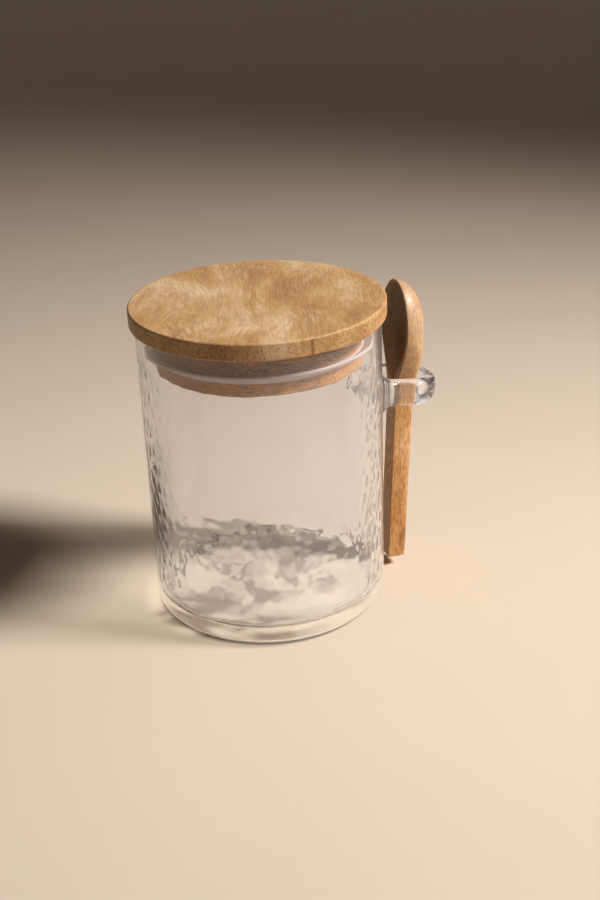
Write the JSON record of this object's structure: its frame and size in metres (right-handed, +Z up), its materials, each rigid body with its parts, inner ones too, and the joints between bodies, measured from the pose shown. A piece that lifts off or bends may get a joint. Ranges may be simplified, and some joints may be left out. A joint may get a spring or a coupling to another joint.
{
  "type": "jam pot",
  "caption": "Round glass pot with a wooden plug lid, a clear seal, and a wooden spoon hung in a glass loop on its side.",
  "frame": {"origin": "centre of the pot's flat underside, on the table", "axes": "+Z up along the pot's axis; +X from the pot's axis towards the loop and the spoon"},
  "size_m": [0.1244, 0.1, 0.129],
  "materials": {
    "hammered_glass": "clear, hammered",
    "clear_glass": "clear, fire-polished",
    "lid_wood": "sanded, lightly oiled",
    "plug_wood": "sanded, lightly oiled",
    "silicone": "translucent, satin",
    "spoon_wood": "carved, sanded, lightly oiled"
  },
  "bodies": {
    "pot": {"glass_pot": "hammered_glass", "spoon_loop": "clear_glass"},
    "lid": {"lid_disc": "lid_wood", "lid_plug": "plug_wood", "seal_ring": "silicone"},
    "spoon": {"spoon": "spoon_wood"}
  },
  "joints": [
    {"name": "lid_lift", "type": "slide", "parent": "pot", "child": "lid", "axis": [0, 0, 1], "range_m": [0, 0.06]},
    {"name": "spoon_lift", "type": "slide", "parent": "pot", "child": "spoon", "axis": [0.0454, 0, 0.999], "range_m": [0, 0.1]}
  ]
}
